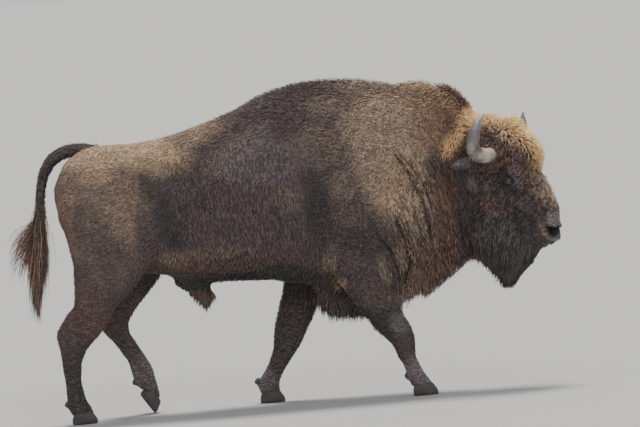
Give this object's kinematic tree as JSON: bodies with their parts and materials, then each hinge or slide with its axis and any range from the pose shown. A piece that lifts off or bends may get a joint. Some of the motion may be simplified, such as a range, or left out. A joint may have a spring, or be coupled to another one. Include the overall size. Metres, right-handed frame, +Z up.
{
  "type": "wisent",
  "caption": "Life-size still model of a bull wisent walking with its head low and turned: humped shoulders, forelock, beard, chest mane, curved horns, tufted tail and cloven hooves.",
  "frame": {"origin": "on the floor, under the middle of the animal's bounding box", "axes": "+X towards the head, +Y to the animal's left, +Z up"},
  "size_m": [3.0888, 0.763, 1.7999],
  "materials": {
    "horn": "horn, satin, with growth rings at the base",
    "eye": "dark brown eyeball, wet gloss",
    "hoof": "dull dark horn",
    "dewclaw": "dull dark horn",
    "ear": "short dark fur, longer along the rim",
    "forelock": "curly orange-brown mop of long hair",
    "muzzle": "bare dark nose with short pale fur round it",
    "beard": "long dark hanging hair",
    "head": "short dark brown fur, curly on the brow",
    "neck": "curly brown wool",
    "withers": "curly brown wool over the hump",
    "chest_mane": "long dark hair hanging from the chest",
    "barrel": "short dense dark brown fur",
    "rump": "short fur, paler over the hips",
    "sheath": "reddish brown tuft of hair",
    "tail": "dark hair, long in the tuft",
    "shoulder": "dark brown fur",
    "forearm": "short dark fur",
    "thigh": "short brown fur",
    "gaskin": "short brown fur",
    "cannon": "very short dark fur"
  },
  "bodies": {
    "root": {"barrel": "barrel", "beard": "beard", "cannon_fore_left": "cannon", "cannon_fore_right": "cannon", "cannon_hind_left": "cannon", "cannon_hind_right": "cannon", "chest_mane": "chest_mane", "dewclaw_fore_left_inner": "dewclaw", "dewclaw_fore_left_outer": "dewclaw", "dewclaw_fore_right_inner": "dewclaw", "dewclaw_fore_right_outer": "dewclaw", "dewclaw_hind_left_inner": "dewclaw", "dewclaw_hind_left_outer": "dewclaw", "dewclaw_hind_right_inner": "dewclaw", "dewclaw_hind_right_outer": "dewclaw", "ear_left": "ear", "ear_right": "ear", "eye_left": "eye", "eye_right": "eye", "forearm_left": "forearm", "forearm_right": "forearm", "forelock": "forelock", "gaskin_left": "gaskin", "gaskin_right": "gaskin", "head": "head", "hoof_fore_left_inner": "hoof", "hoof_fore_left_outer": "hoof", "hoof_fore_right_inner": "hoof", "hoof_fore_right_outer": "hoof", "hoof_hind_left_inner": "hoof", "hoof_hind_left_outer": "hoof", "hoof_hind_right_inner": "hoof", "hoof_hind_right_outer": "hoof", "horn_left": "horn", "horn_right": "horn", "muzzle": "muzzle", "neck": "neck", "rump": "rump", "sheath": "sheath", "shoulder_left": "shoulder", "shoulder_right": "shoulder", "tail": "tail", "tail_tuft": "tail", "thigh_left": "thigh", "thigh_right": "thigh", "withers": "withers"}
  },
  "joints": []
}
